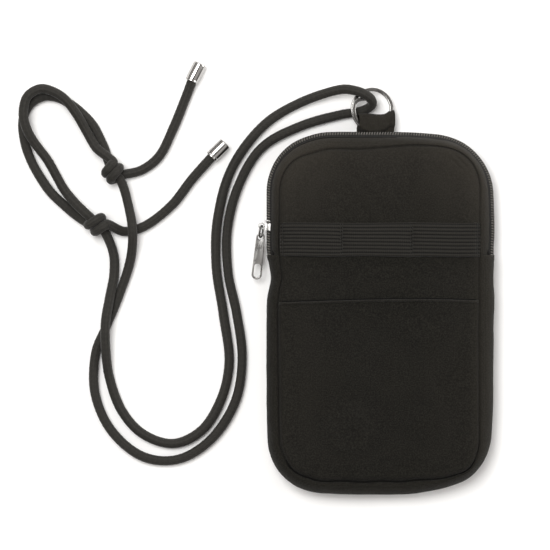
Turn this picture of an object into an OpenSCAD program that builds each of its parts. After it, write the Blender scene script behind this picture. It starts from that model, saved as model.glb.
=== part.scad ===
// Neck pouch wallet: a flat padded fabric pouch that opens with one long zip, and hangs from a
// round cord threaded through a split ring. It lies on its back: +X is the wearer's right as
// drawn, +Y runs up to the ring and +Z comes out of the front. The origin is the centre of the
// back face.

/* [Pouch] */
// Width across the widest part of the pouch
pouch_w = 120; // [116:1:124]
// Height of the pouch without its ring loop
pouch_h = 190; // [184:1:196]
// Thickness from the back face to the face of the front panel
pouch_t = 20; // [19:0.5:22]
// Radius of the two upper corners
top_r = 32; // [28:1:36]
// Radius of the two lower corners
bottom_r = 30; // [26:1:34]
// How far the front and back seams sit inside the outline
seam_inset = 7; // [6:0.5:8]
// Thickness of the outer fabric
cloth = 0.9; // [0.7:0.1:1]
// Thickness of the foam inside each face
foam = 1.6; // [1:0.1:2]
// Thickness of the lining
lining = 0.4; // [0.3:0.1:0.6]

/* [Zip] */
// Where both ends of the zip stop, above the pouch's centre
zip_end_y = 30; // [29:0.5:32]
// Width of one side of the zip tape
tape_w = 2; // [1.5:0.1:2.2]
// Gap between the two rows of teeth when closed
teeth_gap = 1; // [0.9:0.1:1.1]
// Height of one row of teeth
teeth_w = 1; // [0.8:0.1:1]
// Middle of the slider at rest, above the pouch's centre
slider_y = 45.4; // [42:0.2:50]
// Length of the pull tab
pull_len = 24.6; // [20:0.2:26]

/* [Front] */
// Fold line about which the front panel opens, above the pouch's centre
fold_y = 28.6; // [28:0.1:28.8]
// Height of the elastic band
band_h = 17; // [14:1:20]
// Upper edge of the patch pocket, above the pouch's centre
pocket_top = 6; // [0:1:10]

/* [Ring and cord] */
// Outer diameter of the split ring
ring_d = 22.6; // [22:0.2:23]
// Width of the ring's wire across the ring
ring_w = 1.95; // [1.8:0.05:2]
// Height of the ring's two turns
ring_h = 3.1; // [2.8:0.1:3.2]
// Diameter of the cord
cord_d = 5; // [4:0.1:5]
// Diameter of a cord tip
tip_d = 7; // [6:0.2:7]
// Length of a cord tip
tip_len = 10.5; // [9:0.5:11]

/* [Hidden] */

fabric_colour = [0.16, 0.155, 0.14];
lining_colour = [0.3, 0.3, 0.29];
foam_colour = [0.75, 0.74, 0.7];
metal_colour = [0.75, 0.75, 0.76];
tooth_colour = [0.1, 0.1, 0.1];

half_w = pouch_w / 2;
half_h = pouch_h / 2;
half_t = pouch_t / 2;
corner_steps = 10;      // straight facets in each rounded corner
bulge_steps = 6;        // rows of facets across each rolled side
joint_gap = 0.1;        // air between layers that lie on each other
body_gap = 0.3;         // air between pieces that move past each other
back_edge = 0.5;        // inset of the back side's roll at mid-thickness
front_edge = 1.3;       // inset of the front side's roll, smaller so that the zip shows
back_tape_z = half_t - teeth_gap / 2 - teeth_w;
front_tape_z = half_t + teeth_gap / 2 + teeth_w;
panel_gap = 0.6;        // half the slot between the lower front panel and the flap
zip_start = zip_end_y + 0.5;
tape_t = 0.5;
tape_inset = 0.2;
teeth_inset = 0.1;
band_w = 104;
band_stitches = [-51.4, -20.6, 15.8, 51.4];  // stitched lines that divide the elastic band
band_t = 1;
band_lift = 0.4;        // slack under each loop of the elastic band
pocket_t = 0.7;
pocket_rim = 1.6;

// Points of one rounded corner, from angle a0 through a quarter turn
function corner(cx, cy, r, a0) = [for (i = [0:corner_steps])
    let (a = a0 + 90 * i / corner_steps) [cx + r * cos(a), cy + r * sin(a)]];

// Side wall from the right, over the top, to the left, starting at height y
function path_top(inset, y) = concat(
    [[half_w - inset, y]],
    corner(half_w - top_r, half_h - top_r, top_r - inset, 0),
    corner(top_r - half_w, half_h - top_r, top_r - inset, 90),
    [[inset - half_w, y]]);

// Side wall from the left, round the bottom, to the right
function path_low(inset, y) = concat(
    [[inset - half_w, y]],
    corner(bottom_r - half_w, bottom_r - half_h, bottom_r - inset, 180),
    corner(half_w - bottom_r, bottom_r - half_h, bottom_r - inset, 270),
    [[half_w - inset, y]]);

// How far the rolled side sits inside the outline at height z
function roll(z, edge) = let (u = (z - half_t) / (half_t - 0.5))
    edge + (seam_inset - edge) * (1 - sqrt(max(0, 1 - u * u)));

// Closed profile of a rolled wall between two heights, as [inset, z] pairs
function wall_profile(z0, z1, thick, edge, skin = 0, steps = bulge_steps) = concat(
    [for (i = [0:steps]) let (z = z0 + (z1 - z0) * i / steps) [roll(z, edge) + skin, z]],
    [for (i = [steps:-1:0]) let (z = z0 + (z1 - z0) * i / steps)
        [roll(z, edge) + skin + thick, z]]);

// One closed solid through a list of rings that hold the same number of points
module loft(rings) {
    m = len(rings[0]);
    n = len(rings);
    sides = [for (i = [0:n - 2]) for (k = [0:m - 1])
        [i * m + k, (i + 1) * m + k, (i + 1) * m + (k + 1) % m, i * m + (k + 1) % m]];
    start = [[for (k = [0:m - 1]) k]];
    end = [[for (k = [m - 1:-1:0]) (n - 1) * m + k]];
    polyhedron([for (r = rings) for (p = r) p], concat(sides, start, end));
}

// A wall with the given profile along the top or the lower path
module wall(profile, top, y) {
    paths = [for (p = profile) top ? path_top(p[0], y) : path_low(p[0], y)];
    loft([for (i = [0:len(paths[0]) - 1])
        [for (k = [0:len(profile) - 1]) [paths[k][i][0], paths[k][i][1], profile[k][1]]]]);
}

// A flat layer of the whole pouch, inset from the outline
module layer(inset, z, thick) {
    translate([0, 0, z]) linear_extrude(thick)
        polygon(concat(path_top(inset, 0), path_low(inset, 0)));
}

// A flat layer above or below the fold line
module upper_layer(inset, z, thick) {
    translate([0, 0, z]) linear_extrude(thick) polygon(path_top(inset, fold_y + panel_gap));
}

module lower_layer(inset, z, thick) {
    translate([0, 0, z]) linear_extrude(thick) polygon(path_low(inset, fold_y - panel_gap));
}

// Tape folded over the raw edges inside a seam
binding_in = seam_inset + 1.2;
binding_w = 1.2;
binding_h = 2;

module binding_strip(top, z, y) {
    wall([[binding_in, z], [binding_in, z + binding_h], [binding_in + binding_w, z + binding_h],
        [binding_in + binding_w, z]], top, y);
}

foam_z = cloth + joint_gap;
lining_z = foam_z + foam + joint_gap;
inner_z = lining_z + lining + joint_gap;

module back_panel() { color(fabric_colour) layer(seam_inset - 0.2, 0, cloth); }
module back_foam() { color(foam_colour) layer(seam_inset + 1, foam_z, foam); }
module back_lining() { color(lining_colour) layer(seam_inset + 1, lining_z, lining); }
module back_binding() {
    color(fabric_colour) {
        binding_strip(true, inner_z, 0);
        binding_strip(false, inner_z, 0);
    }
}

side_z0 = cloth + joint_gap;
side_z1 = pouch_t - cloth - joint_gap;

module lower_gusset() {
    color(fabric_colour)
        wall(wall_profile(side_z0, side_z1, cloth, back_edge, 0, 2 * bulge_steps), false,
            fold_y - panel_gap);
}
module gusset_lining() {
    color(lining_colour)
        wall(wall_profile(side_z0 + 2, side_z1 - 2, lining, back_edge, cloth + joint_gap,
            2 * bulge_steps), false, fold_y - panel_gap);
}
module zip_strip_back() {
    color(fabric_colour)
        wall(wall_profile(side_z0, back_tape_z - tape_w, cloth, back_edge),
            true, fold_y - panel_gap + joint_gap);
}
module zip_tape_back() {
    color(tooth_colour)
        wall(wall_profile(back_tape_z - tape_w + joint_gap, back_tape_z - joint_gap, tape_t,
            back_edge, tape_inset), true, zip_start);
}
module zip_teeth_back() {
    color(tooth_colour) teeth_row(back_edge, back_tape_z);
}
module zip_strip_front() {
    color(fabric_colour)
        wall(wall_profile(front_tape_z + tape_w, side_z1, cloth, front_edge),
            true, fold_y + panel_gap);
}
module zip_tape_front() {
    color(tooth_colour)
        wall(wall_profile(front_tape_z + joint_gap, front_tape_z + tape_w - joint_gap, tape_t,
            front_edge, tape_inset), true, zip_start);
}
module zip_teeth_front() {
    color(tooth_colour) teeth_row(front_edge, front_tape_z - teeth_w);
}

// One row of zip teeth as a plain strip, proud of its tape
module teeth_row(edge, z) {
    wall([[edge + teeth_inset, z], [edge + teeth_inset, z + teeth_w],
        [edge + teeth_inset + teeth_w, z + teeth_w], [edge + teeth_inset + teeth_w, z]],
        true, zip_start);
}

front_z = pouch_t - cloth;
front_foam_z = front_z - joint_gap - foam;
front_lining_z = front_foam_z - joint_gap - lining;
front_binding_z = front_lining_z - joint_gap - binding_h;

module front_panel_lower() { color(fabric_colour) lower_layer(seam_inset - 0.2, front_z, cloth); }
module front_foam_lower() { color(foam_colour) lower_layer(seam_inset + 1, front_foam_z, foam); }
module front_lining_lower() {
    color(lining_colour) lower_layer(seam_inset + 1, front_lining_z, lining);
}
module front_binding_lower() {
    color(fabric_colour) binding_strip(false, front_binding_z, fold_y - panel_gap);
}
module front_panel_flap() { color(fabric_colour) upper_layer(seam_inset - 0.2, front_z, cloth); }
module front_foam_flap() { color(foam_colour) upper_layer(seam_inset + 1, front_foam_z, foam); }
module front_lining_flap() {
    color(lining_colour) upper_layer(seam_inset + 1, front_lining_z, lining);
}
module front_binding_flap() {
    color(fabric_colour) binding_strip(true, front_binding_z, fold_y + panel_gap);
}

// Flat pocket sewn on along its sides and bottom, open at the top
module front_pocket() {
    color(fabric_colour) difference() {
        translate([0, 0, pouch_t]) linear_extrude(band_lift + pocket_t)
            polygon(path_low(seam_inset + 1, pocket_top));
        translate([0, pocket_rim, pouch_t - 1]) linear_extrude(1 + band_lift)
            polygon(path_low(seam_inset + 1 + pocket_rim, pocket_top));
    }
}

// Ribbed elastic, stitched down so that it makes three loops
module elastic_band() {
    color(fabric_colour) {
        translate([-band_w / 2, fold_y + 1, pouch_t + band_lift])
            cube([band_w, band_h, band_t]);
        for (x = band_stitches)
            translate([x - 0.6, fold_y + 1, pouch_t]) cube([1.2, band_h, band_lift + 0.1]);
    }
}

// Slider: an outer and an inner plate joined by a post between the rows of teeth, with a lug
slider_len = 5.6;
slider_h = 4.8;
plate_t = 0.7;
outer_x = half_w - back_edge + 0.25;
inner_x = half_w - front_edge - teeth_inset - teeth_w - body_gap;
lug = [-62, slider_y, 10.3];
lug_r = 1.8;
lug_bore = 1.2;
lug_h = 1.4;

module zip_slider() {
    color(metal_colour) difference() {
        union() {
            translate([-outer_x - plate_t, slider_y - slider_len / 2, half_t - slider_h / 2])
                cube([plate_t, slider_len, slider_h]);
            translate([-inner_x, slider_y - slider_len / 2, half_t - slider_h / 2])
                cube([plate_t, slider_len, slider_h]);
            translate([-outer_x - 0.1, slider_y - 1, half_t - 0.35])
                cube([outer_x - inner_x + 0.2, 2, 0.7]);
            translate([lug[0], lug[1] - lug_r, lug[2] - lug_h / 2])
                cube([-lug[0] - outer_x - 0.1, 2 * lug_r, lug_h]);
            translate([lug[0], lug[1], lug[2] - lug_h / 2]) cylinder(r = lug_r, h = lug_h, $fn = 48);
        }
        translate([lug[0], lug[1], lug[2] - lug_h]) cylinder(r = lug_bore, h = 2 * lug_h, $fn = 48);
    }
}

// The link and the pull tab hang from the lug, leaning outwards and drooping a little
pull_lean = 6;
pull_droop = 9;
link_len = 6;
link_half = 2.25;
link_wire = 1;
link_tilt = 20;
tab_top_r = 2.2;
tab_end_r = 2.7;
tab_t = 1.2;
tab_hole = 1.4;
slot_r = 1.7;
slot_len = 4;
arc_steps = 16;

module at_lug() {
    translate(lug) rotate([0, 0, -pull_lean]) rotate([pull_droop, 0, 0]) children();
}

module link_end(y, turn) {
    translate([0, y, 0]) rotate([0, 90, 0]) rotate([0, 0, turn]) rotate_extrude(angle = 180, $fn = 48)
        translate([link_half, 0]) circle(d = link_wire, $fn = 24);
}

module pull_link() {
    straight = link_len - 2 * link_half;
    color(metal_colour) at_lug() rotate([0, -link_tilt, 0]) {
        link_end(-link_half, 0);
        link_end(-link_half - straight, 180);
        for (z = [-link_half, link_half]) translate([0, -link_half, z])
            rotate([90, 0, 0]) cylinder(d = link_wire, h = straight, $fn = 24);
    }
}

// Outline round two circles on the Y axis, the first at the origin
function long_outline(r0, r1, dist) = concat(
    [for (i = [0:arc_steps]) let (a = 180 * i / arc_steps) [r0 * cos(a), r0 * sin(a)]],
    [for (i = [0:arc_steps]) let (a = 180 + 180 * i / arc_steps)
        [r1 * cos(a), r1 * sin(a) - dist]]);

module pull_tab() {
    span = pull_len - tab_top_r - tab_end_r;
    color(metal_colour) at_lug() translate([0, -link_len, -tab_t / 2]) difference() {
        linear_extrude(tab_t) difference() {
            polygon(long_outline(tab_top_r, tab_end_r, span));
            translate([0, slot_len - span]) polygon(long_outline(slot_r, slot_r, slot_len));
        }
        translate([0, 0, -1]) cylinder(r = tab_hole, h = tab_t + 2, $fn = 48);
    }
}

// Split ring, tilted so that its left side is raised over the cord
ring_c = [-4.3, 106.3, 6];
ring_tilt = 12;
ring_in = ring_d / 2 - ring_w;

module split_ring() {
    chamfer = 0.4;
    h = ring_h / 2;
    w = ring_w;
    color(metal_colour) translate(ring_c) rotate([0, ring_tilt, 0])
        rotate_extrude($fn = 96) translate([ring_in, 0])
            polygon([[0, chamfer - h], [chamfer, -h], [w - chamfer, -h], [w, chamfer - h],
                [w, -chamfer / 2], [w - chamfer, 0], [w, chamfer / 2],
                [w, h - chamfer], [w - chamfer, h], [chamfer, h], [0, h - chamfer]]);
}

// Fabric loop folded over the ring; its right end stays open where the ring's arm comes out
tab_x0 = -7.5;
tab_x1 = 11.4;
tab_fold_x1 = 8.2;
tab_y0 = -11.1;
tab_y1 = -3;
loop_in = ring_h / 2 + body_gap;
loop_out = loop_in + 0.8;

function fold_section(r) = concat([[tab_y0, -r]],
    [for (i = [0:arc_steps]) let (a = -90 + 180 * i / arc_steps)
        [tab_y1 - loop_out + r * cos(a), r * sin(a)]], [[tab_y0, r]]);

module ring_tab() {
    color(fabric_colour) translate(ring_c) rotate([0, ring_tilt, 0]) {
        translate([tab_x0, 0, 0]) rotate([90, 0, 90]) linear_extrude(tab_fold_x1 - tab_x0)
            difference() {
                polygon(fold_section(loop_out));
                polygon([for (p = fold_section(loop_in)) p[0] == tab_y0 ? [p[0] - 1, p[1]] : p]);
            }
        for (z = [-loop_out, loop_in]) translate([tab_fold_x1, tab_y0, z])
            cube([tab_x1 - tab_fold_x1, tab_y1 - tab_y0, loop_out - loop_in]);
    }
}

// The cord: one length that runs from tip to tip through both knots and the ring
cord_sides = 8;
lie = 2.6;              // height of the cord's middle where it lies on the table

route_tail_1 = [[-98, 122.4, 3.4], [-102, 112, lie], [-108.5, 96, lie], [-116, 81.5, lie],
    [-125.5, 74.2, 3], [-133.8, 73.2, 5]];
route_upper_a = [[-142.8, 78.4, 8], [-148.8, 86.4, 7.4], [-154, 94.8, 7.4], [-159, 104, 7.5],
    [-165, 111.8, 7.5], [-171, 115.6, 7.5], [-177.5, 117, 7.6], [-184.2, 113, 8],
    [-186.4, 103.6, 8], [-183, 93.5, 7], [-174.7, 79.5, 3], [-162.5, 60.2, 4.6],
    [-152.5, 50.6, 8]];
route_upper_b = [[-140.4, 79.2, 3.6], [-144, 86.8, lie], [-148.2, 95.2, lie], [-155, 103.4, lie],
    [-163, 110, lie], [-169, 112.6, lie], [-176, 113.2, lie], [-183, 109.4, lie], [-186.8, 101, lie], [-185.6, 89.5, lie],
    [-178, 71.6, lie], [-165, 55.6, lie], [-152.8, 47.4, 3.4]];
route_tail_2 = [[-142.2, 44.9, 7.6], [-134, 42.6, 3], [-124, 45, lie], [-109.3, 56.1, lie],
    [-98.4, 70, lie], [-87.6, 82.1, 3.4]];
route_strand_2 = [[-144.2, 42.6, 3], [-139.6, 31, lie], [-139.3, 20, 3], [-141.4, 8, 6.4],
    [-143.6, -6, 8], [-143.4, -20, 6.2], [-141.6, -34, lie], [-135, -51.5, lie],
    [-124, -63.4, lie], [-108, -68.3, lie], [-93.5, -61.4, lie], [-83.4, -45.4, lie],
    [-79.1, -26, lie], [-82.2, 0, lie], [-85.9, 25, lie], [-85, 50, lie], [-77.5, 76, lie],
    [-61, 98, lie], [-42, 109.8, 3.4], [-21.4, 116.6, 7.6]];
route_bight = [[-20, 116.6, 8.2], [-14, 116, 10.8], [-9, 114.3, 11.6], [-5.2, 111.6, 9.6],
    [-4.4, 109, 6.4], [-6.8, 106.8, 3.8], [-12, 105, lie], [-20, 103.8, lie]];
route_strand_1 = [[-20.4, 103.7, lie], [-42, 97.5, lie], [-62, 86.4, lie], [-74, 67, lie],
    [-80, 44, lie], [-79.6, 21, lie], [-75.2, 0, lie], [-72.3, -24, lie], [-76, -46.5, lie],
    [-89, -66.5, lie], [-106, -76.6, lie], [-124, -75.2, lie], [-140.6, -61.6, lie],
    [-149.2, -42, lie], [-148.8, -21, lie], [-143.7, -8, lie], [-137, 8.4, lie],
    [-130.6, 28, 3.6], [-129.4, 43, 8.1], [-131.4, 55, 5.6], [-136, 69.6, 5]];

// Eight-sided tube along a route
module tube(route) {
    n = len(route);
    loft([for (i = [0:n - 1])
        let (a = route[max(i - 1, 0)], b = route[min(i + 1, n - 1)], t = (b - a) / norm(b - a),
            s = cross(t, [0, 0, 1]) / norm(cross(t, [0, 0, 1])), u = cross(s, t))
        [for (k = [0:cord_sides - 1]) let (w = 360 * (k + 0.5) / cord_sides)
            route[i] + cord_d / 2 * (cos(w) * s + sin(w) * u)]]);
}

cord_colour = [0.22, 0.21, 0.19];
module cord_bight() { color(cord_colour) tube(route_bight); }
module cord_strand_1() { color(cord_colour) tube(route_strand_1); }
module cord_strand_2() { color(cord_colour) tube(route_strand_2); }
module cord_upper_a() { color(cord_colour) tube(route_upper_a); }
module cord_upper_b() { color(cord_colour) tube(route_upper_b); }
module cord_tail_1() { color(cord_colour) tube(route_tail_1); }
module cord_tail_2() { color(cord_colour) tube(route_tail_2); }

knot_r = 6;
module knot(at) { color(cord_colour) translate(at) sphere(r = knot_r, $fn = 48); }
module knot_1() { knot([-139.3, 73.7, knot_r + 0.1]); }
module knot_2() { knot([-147.7, 46.4, knot_r + 0.1]); }

// Plain metal cap on a cord's end, its axis lying at the given angle
module cord_tip(at, angle) {
    color(metal_colour) translate([at[0], at[1], tip_d / 2 + 0.05]) rotate([0, 0, angle])
        rotate([0, 90, 0]) cylinder(d = tip_d, h = tip_len, $fn = 64);
}
module cord_tip_1() { cord_tip([-98.6, 121], 63); }
module cord_tip_2() { cord_tip([-88.4, 81.4], 45); }

back_panel();
back_foam();
back_lining();
back_binding();
lower_gusset();
gusset_lining();
zip_strip_back();
zip_tape_back();
zip_teeth_back();
front_panel_lower();
front_foam_lower();
front_lining_lower();
front_binding_lower();
front_pocket();
front_panel_flap();
front_foam_flap();
front_lining_flap();
front_binding_flap();
elastic_band();
zip_strip_front();
zip_tape_front();
zip_teeth_front();
zip_slider();
pull_link();
pull_tab();
ring_tab();
split_ring();
cord_bight();
cord_strand_1();
cord_strand_2();
cord_upper_a();
cord_upper_b();
cord_tail_1();
cord_tail_2();
knot_1();
knot_2();
cord_tip_1();
cord_tip_2();
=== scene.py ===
"""Neck pouch wallet: the looks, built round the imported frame.

Everything is worked out in millimetres and written to Blender in metres.
"""
import math

import bmesh
import bpy
import numpy as np
from mathutils import Matrix, Vector


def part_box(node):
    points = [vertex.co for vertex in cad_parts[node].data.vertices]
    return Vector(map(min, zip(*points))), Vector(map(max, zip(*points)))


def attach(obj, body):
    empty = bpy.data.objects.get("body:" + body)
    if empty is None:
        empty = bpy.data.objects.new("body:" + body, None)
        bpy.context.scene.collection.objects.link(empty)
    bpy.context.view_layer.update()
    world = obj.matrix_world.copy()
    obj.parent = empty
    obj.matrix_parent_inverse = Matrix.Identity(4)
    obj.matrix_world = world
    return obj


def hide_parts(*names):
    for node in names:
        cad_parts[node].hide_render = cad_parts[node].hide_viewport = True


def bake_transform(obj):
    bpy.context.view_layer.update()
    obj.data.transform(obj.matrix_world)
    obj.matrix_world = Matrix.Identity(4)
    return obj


MM = 0.001
UP = np.array((0.0, 0.0, 1.0))
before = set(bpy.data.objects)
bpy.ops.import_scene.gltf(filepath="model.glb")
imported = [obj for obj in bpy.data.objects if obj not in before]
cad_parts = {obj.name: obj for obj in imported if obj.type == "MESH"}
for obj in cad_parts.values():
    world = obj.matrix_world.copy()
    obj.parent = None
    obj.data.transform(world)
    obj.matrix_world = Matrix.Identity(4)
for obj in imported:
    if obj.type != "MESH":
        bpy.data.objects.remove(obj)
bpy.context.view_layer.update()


# ---------------- driving sizes, from the frame
def box_mm(node):
    """Lowest and highest corner of a CAD node in millimetres."""
    lo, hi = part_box(node)
    return np.array(lo) / MM, np.array(hi) / MM


EDGE_INSET = 0.5  # the CAD gusset's own inset
HALF_W = box_mm("lower_gusset")[1][0] + EDGE_INSET
HALF_H = -box_mm("lower_gusset")[0][1] + EDGE_INSET
FACE_Z = box_mm("front_panel_lower")[1][2]
MID_Z = FACE_Z / 2
FOLD_Y = (box_mm("lower_gusset")[1][1] + box_mm("zip_strip_front")[0][1]) / 2
TOP_R = 32.0
BOTTOM_R = 30.0
ROLL_H = 9.3  # from mid-thickness to a seam
BACK_SEAM = 7.0  # how far it sits inside the outline
CORD_R = 2.5
BRAID_LOBES = 4  # yarns of each hand round the cord
BRAID_TURN = 1.15  # how fast they wind, in radians a millimetre
CLOTH = 0.7
FOAM_T = 1.5
LINING_T = 0.35


# ---------------- mesh helpers
def placed(name, data):
    """A new object in the scene, from its data."""
    obj = bpy.data.objects.new(name, data)
    bpy.context.scene.collection.objects.link(obj)
    return obj


def make_object(name, verts, faces):
    """A smooth mesh object from points in millimetres."""
    mesh = bpy.data.meshes.new(name)
    mesh.from_pydata([tuple(float(c) * MM for c in v) for v in verts], [], faces)
    mesh.validate()
    mesh.polygons.foreach_set("use_smooth", [True] * len(mesh.polygons))
    mesh.update()
    return placed(name, mesh)


def grid_normals(points, closed=False):
    """Unit normals of a grid of points, from its two directions."""
    if closed:
        du = np.roll(points, -1, 0) - np.roll(points, 1, 0)
    else:
        du = np.gradient(points, axis=0)
    dv = np.gradient(points, axis=1)
    n = np.cross(du, dv)
    size = np.linalg.norm(n, axis=2, keepdims=True)
    return np.where(size > 1e-5, n / np.maximum(size, 1e-9), np.array([0.0, 0.0, 1.0]))


def sheet_solid(name, points, thick, closed=False, flip=False, spine=False):
    """A closed sheet: the grid of points is its outer face, and its back lies thick behind it.

    With spine, the last ring meets itself along a line and gets no rim.
    """
    n = grid_normals(points, closed)
    if flip:
        n = -n
    back = points - n * thick
    nu, nv = points.shape[:2]
    verts = np.concatenate([points.reshape(-1, 3), back.reshape(-1, 3)])
    size = nu * nv
    faces = []

    def rim(a, b):
        return (b, b + size, a + size, a) if flip else (a, a + size, b + size, b)

    rows = nu if closed else nu - 1
    for i in range(rows):
        i2 = (i + 1) % nu
        for j in range(nv - 1):
            a, b, c, d = i * nv + j, i2 * nv + j, i2 * nv + j + 1, i * nv + j + 1
            quad = (a, b, c, d)
            under = (d + size, c + size, b + size, a + size)
            faces += [quad[::-1], under[::-1]] if flip else [quad, under]
        rims = [(i * nv, i2 * nv)] + ([] if spine else [(i2 * nv + nv - 1, i * nv + nv - 1)])
        faces += [rim(a, b) for a, b in rims]
    if not closed:
        last = (nu - 1) * nv
        for j in range(nv - 1):
            faces += [rim(j + 1, j), rim(last + j, last + j + 1)]
    obj = make_object(name, verts, faces)
    merge(obj)
    return obj


def wire_faces(n, m, closed=False):
    """The faces between n rings of m points each, with caps unless it is closed."""
    faces = []
    for i in range(n if closed else n - 1):
        i2 = (i + 1) % n
        for k in range(m):
            k2 = (k + 1) % m
            faces.append((i * m + k, i * m + k2, i2 * m + k2, i2 * m + k))
    if not closed:
        faces.append(tuple(range(m))[::-1])
        faces.append(tuple((n - 1) * m + k for k in range(m)))
    return faces


def tube(name, path, radius, sides=8, closed=False, profile=None):
    """A round or profiled tube along points in millimetres, its frame carried along without twist."""
    p = np.array(path, float)
    n = len(p)
    t = np.roll(p, -1, 0) - np.roll(p, 1, 0) if closed else np.gradient(p, axis=0)
    t /= np.linalg.norm(t, axis=1, keepdims=True)
    side = np.cross(t[0], UP)
    if np.linalg.norm(side) < 1e-3:
        side = np.cross(t[0], (0, 1, 0))
    side /= np.linalg.norm(side)
    radii = np.broadcast_to(radius, n)
    angles = [2 * math.pi * k / sides for k in range(sides)]
    ring_shape = profile if profile is not None else [(math.cos(a), math.sin(a)) for a in angles]
    m = len(ring_shape)
    verts = []
    for i in range(n):
        side = side - t[i] * np.dot(side, t[i])
        side /= np.linalg.norm(side)
        up = np.cross(side, t[i])
        for cx, cy in ring_shape:
            verts.append(p[i] + radii[i] * (cx * side + cy * up))
    return make_object(name, verts, wire_faces(n, m, closed))


def join(name, objects):
    """One object from several meshes, without operators."""
    verts, faces, smooth = [], [], []
    for o in objects:
        base = len(verts)
        verts += [tuple(o.matrix_world @ v.co / MM) for v in o.data.vertices]
        faces += [tuple(base + i for i in f.vertices) for f in o.data.polygons]
        smooth += [f.use_smooth for f in o.data.polygons]
        bpy.data.objects.remove(o)
    made = make_object(name, verts, faces)
    made.data.polygons.foreach_set("use_smooth", smooth)
    return made


def lathe(name, profile, steps):
    """A solid of revolution about local X, from (x, radius) pairs in millimetres."""
    verts, faces = [], []
    m = len(profile)
    for i in range(steps):
        a = 2 * math.pi * i / steps
        verts += [(x, r * math.cos(a), r * math.sin(a)) for x, r in profile]
    for i in range(steps):
        i2 = (i + 1) % steps
        for k in range(m - 1):
            faces.append((i * m + k, i * m + k + 1, i2 * m + k + 1, i2 * m + k))
    obj = make_object(name, verts, faces)
    merge(obj)
    return obj


def merge(obj):
    """Joins points that lie on each other."""
    bm = bmesh.new()
    bm.from_mesh(obj.data)
    bmesh.ops.remove_doubles(bm, verts=bm.verts, dist=1e-6)
    bmesh.ops.recalc_face_normals(bm, faces=bm.faces)
    bm.to_mesh(obj.data)
    bm.free()


def plate(name, loops, half_t, bevel, place):
    """A flat plate with holes and rounded edges: the first loop is its outline, in millimetres."""
    curve = bpy.data.curves.new(name + ".outline", "CURVE")
    curve.dimensions = "2D"
    curve.fill_mode = "BOTH"
    curve.extrude = (half_t - bevel) * MM
    curve.bevel_depth = bevel * MM
    curve.bevel_resolution = 3
    curve.offset = -bevel * MM
    for loop in loops:
        spline = curve.splines.new("POLY")
        spline.points.add(len(loop) - 1)
        for q, (x, y) in zip(spline.points, loop):
            q.co = (x * MM, y * MM, 0, 1)
        spline.use_cyclic_u = True
    source = placed(name + ".outline", curve)
    bpy.context.view_layer.update()
    mesh = bpy.data.meshes.new_from_object(source.evaluated_get(
        bpy.context.evaluated_depsgraph_get()))
    mesh.name = name
    bpy.data.objects.remove(source)
    mesh.transform(place)
    obj = placed(name, mesh)
    merge(obj)
    return obj


def moved(x, y, z):
    """The matrix that moves a piece by millimetres."""
    return Matrix.Translation(Vector((x, y, z)) * MM)


def paint(obj, label, values):
    """Writes a number for each point, which a material reads."""
    attribute = obj.data.attributes.new(label, "FLOAT", "POINT")
    attribute.data.foreach_set("value", values.astype(np.float32))


def smooth_by_angle(obj, degrees):
    """Smooth shading with sharp edges where the faces turn more than this."""
    mesh = obj.data
    mesh.polygons.foreach_set("use_smooth", [True] * len(mesh.polygons))
    mesh.set_sharp_from_angle(angle=math.radians(degrees))


def part(p, q, at_p, at_q, t):
    """The point at t on the line that passes p at at_p and q at at_q."""
    return ((at_q - t) * p + (t - at_p) * q) / (at_q - at_p)


def spline_through(points, step):
    """Points about step apart along a smooth curve through the given points."""
    p = np.array(points, float)
    p = np.vstack([2 * p[0] - p[1], p, 2 * p[-1] - p[-2]])
    out = []
    for i in range(1, len(p) - 2):
        a, b, c, d = p[i - 1:i + 3]
        ta = 0.0
        tb = ta + max(np.linalg.norm(b - a), 1e-6) ** 0.5
        tc = tb + max(np.linalg.norm(c - b), 1e-6) ** 0.5
        td = tc + max(np.linalg.norm(d - c), 1e-6) ** 0.5
        for t in np.linspace(tb, tc, 24, endpoint=False):
            a1 = part(a, b, ta, tb, t)
            a2 = part(b, c, tb, tc, t)
            a3 = part(c, d, tc, td, t)
            out.append(part(part(a1, a2, ta, tc, t), part(a2, a3, tb, td, t), tb, tc, t))
    out.append(p[-2])
    return resample(np.array(out), step)


def directions(points):
    """The direction of a line at each of its points."""
    t = np.gradient(points, axis=0)
    return t / np.linalg.norm(t, axis=1, keepdims=True)


def distances(points):
    """How far along a line each of its points is."""
    steps = np.linalg.norm(np.diff(points, axis=0), axis=1)
    return np.concatenate([[0], np.cumsum(steps)])


def resample(points, step):
    """The same line with points evenly about step apart."""
    s = distances(points)
    n = max(2, round(s[-1] / step))
    u = np.linspace(0, s[-1], n + 1)
    return np.stack([np.interp(u, s, points[:, k]) for k in range(3)], 1)


def ramp(x, a, b):
    """0 below a, 1 above b, smooth between."""
    t = np.clip((np.asarray(x, float) - a) / (b - a), 0, 1)
    return t * t * (3 - 2 * t)


def bump(x, middle, width):
    return np.exp(-((np.asarray(x, float) - middle) / width) ** 2)


def ripple(x, y, scale, seed):
    """Smooth waves without a direction, about -1 to 1."""
    rng = np.random.RandomState(seed)
    total = 0
    for _ in range(7):
        a = rng.uniform(0, 2 * math.pi)
        f = rng.uniform(0.6, 1.5) / scale
        total = total + np.sin(2 * math.pi * f * (np.cos(a) * x + np.sin(a) * y)
                               + rng.uniform(0, 2 * math.pi))
    return total / 3.5


# ---------------- the pouch's shape
def corner_arc(cx, cy, r, a0, step):
    """Points along a rounded corner, each with the direction outwards."""
    n = max(8, round(r * math.pi / 2 / step))
    turns = [math.radians(a0 + 90 * i / n) for i in range(n + 1)]
    return [(cx + r * math.cos(a), cy + r * math.sin(a), math.cos(a), math.sin(a)) for a in turns]


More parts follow.
